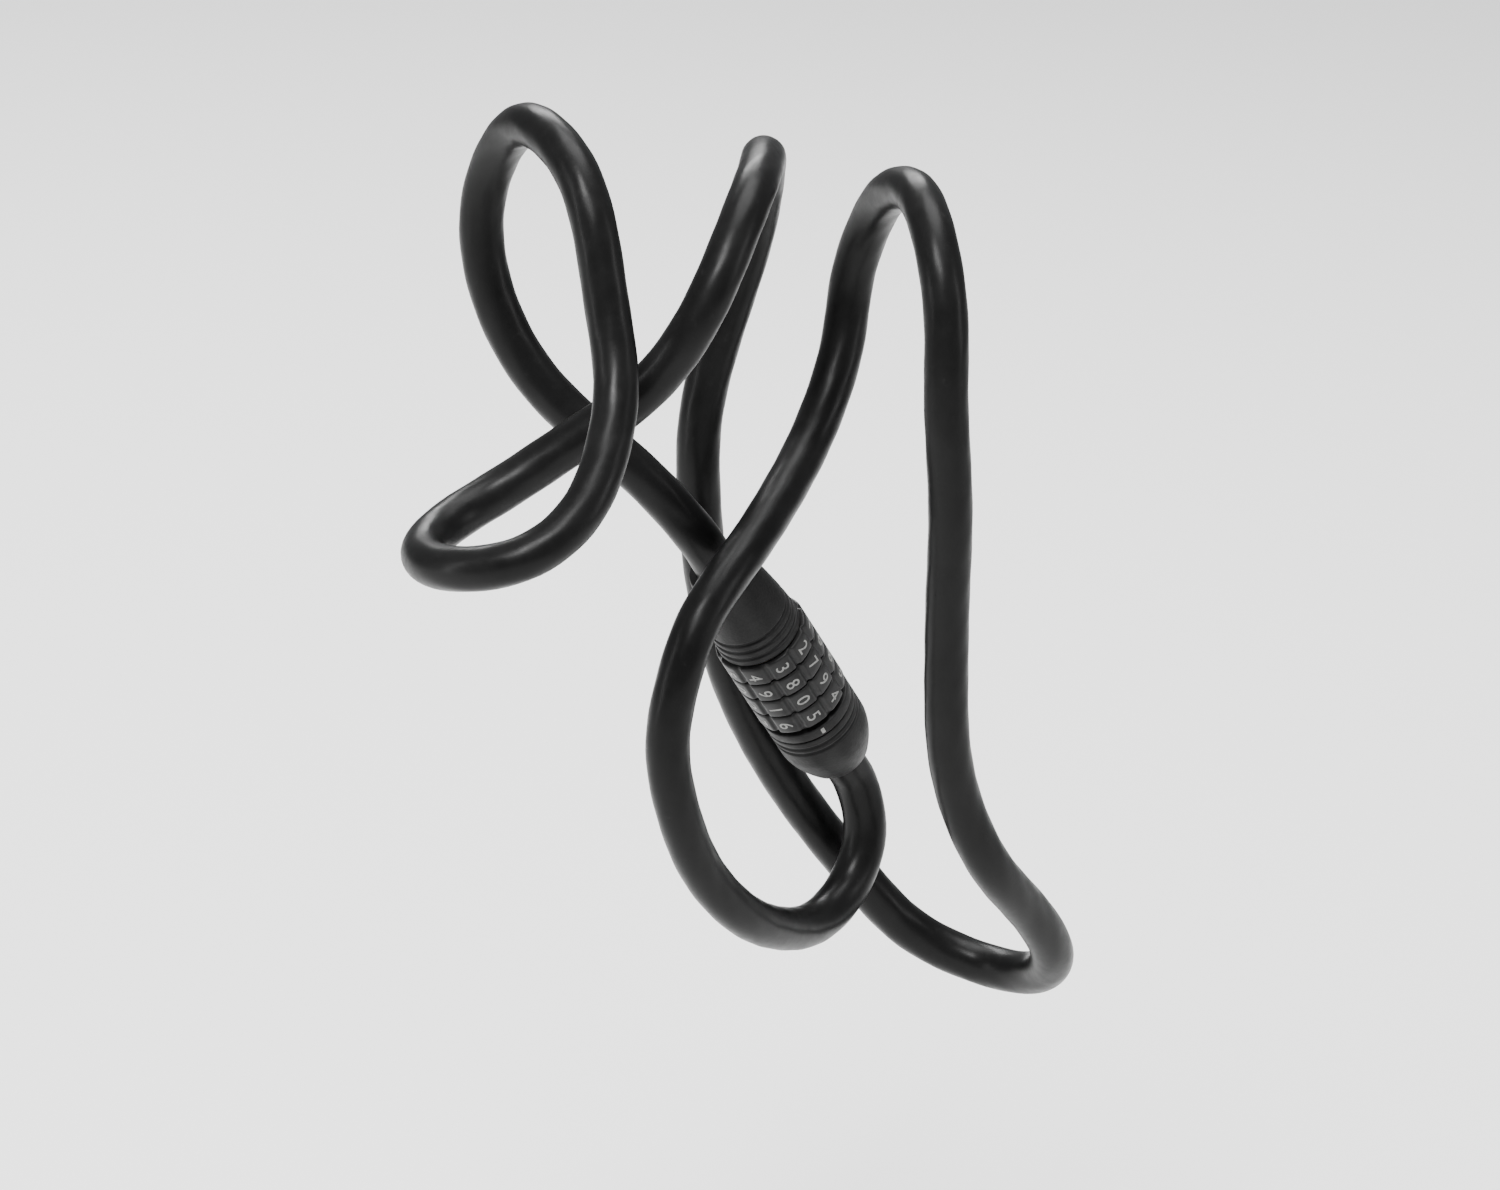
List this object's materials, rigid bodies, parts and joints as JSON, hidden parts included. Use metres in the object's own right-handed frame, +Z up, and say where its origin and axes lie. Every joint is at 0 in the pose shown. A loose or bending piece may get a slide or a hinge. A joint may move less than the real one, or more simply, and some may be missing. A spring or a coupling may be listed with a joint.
{
  "type": "cable lock",
  "caption": "Black steel cable wound round a bicycle's top tube, its ends joined in line by a small combination lock head with digit wheels and a pull-out plug.",
  "frame": {"origin": "on the axis of the bicycle's top tube, in the middle of the cable's wraps", "axes": "+X towards the bicycle's rear, +Y towards its right-hand side, +Z up"},
  "size_m": [0.1509, 0.0818, 0.1802],
  "materials": {
    "cable_sleeve": "black PVC sleeve, semi-gloss",
    "shell": "moulded black plastic, fine texture",
    "dial_plastic": "moulded black plastic with grey digits",
    "soft_rubber": "soft black rubber",
    "plated_steel": "turned, nickel-plated steel",
    "blackened_steel": "blackened steel, oiled",
    "brass": "turned brass",
    "crimp_aluminium": "crimped aluminium",
    "wire_rope": "twisted steel wire rope"
  },
  "bodies": {
    "root": {"cable": "cable_sleeve", "entry_cap": "shell", "entry_cap_screw": "blackened_steel", "entry_boot": "soft_rubber", "entry_ferrule": "crimp_aluminium", "entry_ring_nut": "brass", "wire_rope_entry_end": "wire_rope", "barrel": "plated_steel", "detent_spring": "plated_steel", "thrust_washer": "blackened_steel", "front_collar": "shell", "circlip": "blackened_steel"},
    "dial_1_wheel": {"dial_1": "dial_plastic", "gate_ring_1": "brass"},
    "dial_2_wheel": {"dial_2": "dial_plastic", "gate_ring_2": "brass"},
    "dial_3_wheel": {"dial_3": "dial_plastic", "gate_ring_3": "brass"},
    "dial_4_wheel": {"dial_4": "dial_plastic", "gate_ring_4": "brass"},
    "plug": {"plug_body": "plated_steel", "plug_ferrule": "crimp_aluminium", "plug_ring_nut": "brass", "wire_rope_plug_end": "wire_rope", "plug_cap": "shell", "plug_cap_screw": "blackened_steel", "plug_boot": "soft_rubber", "seal_ring": "soft_rubber"}
  },
  "joints": [
    {"name": "dial_1_turn", "type": "hinge", "parent": "root", "child": "dial_1_wheel", "pos_m": [0.01899, 0.01098, -0.07046], "axis": [0.6028, 0.2309, -0.7637], "continuous": true, "deforming": ["detent_spring"]},
    {"name": "dial_2_turn", "type": "hinge", "parent": "root", "child": "dial_2_wheel", "pos_m": [0.02188, 0.01209, -0.07412], "axis": [0.6028, 0.2309, -0.7637], "continuous": true, "deforming": ["detent_spring"]},
    {"name": "dial_3_turn", "type": "hinge", "parent": "root", "child": "dial_3_wheel", "pos_m": [0.02478, 0.01319, -0.07779], "axis": [0.6028, 0.2309, -0.7637], "continuous": true, "deforming": ["detent_spring"]},
    {"name": "dial_4_turn", "type": "hinge", "parent": "root", "child": "dial_4_wheel", "pos_m": [0.02767, 0.0143, -0.08146], "axis": [0.6028, 0.2309, -0.7637], "continuous": true, "deforming": ["detent_spring"]},
    {"name": "plug_pull", "type": "slide", "parent": "root", "child": "plug", "axis": [0.6028, 0.2309, -0.7637], "range_m": [0, 0.04], "deforming": ["cable"]}
  ]
}
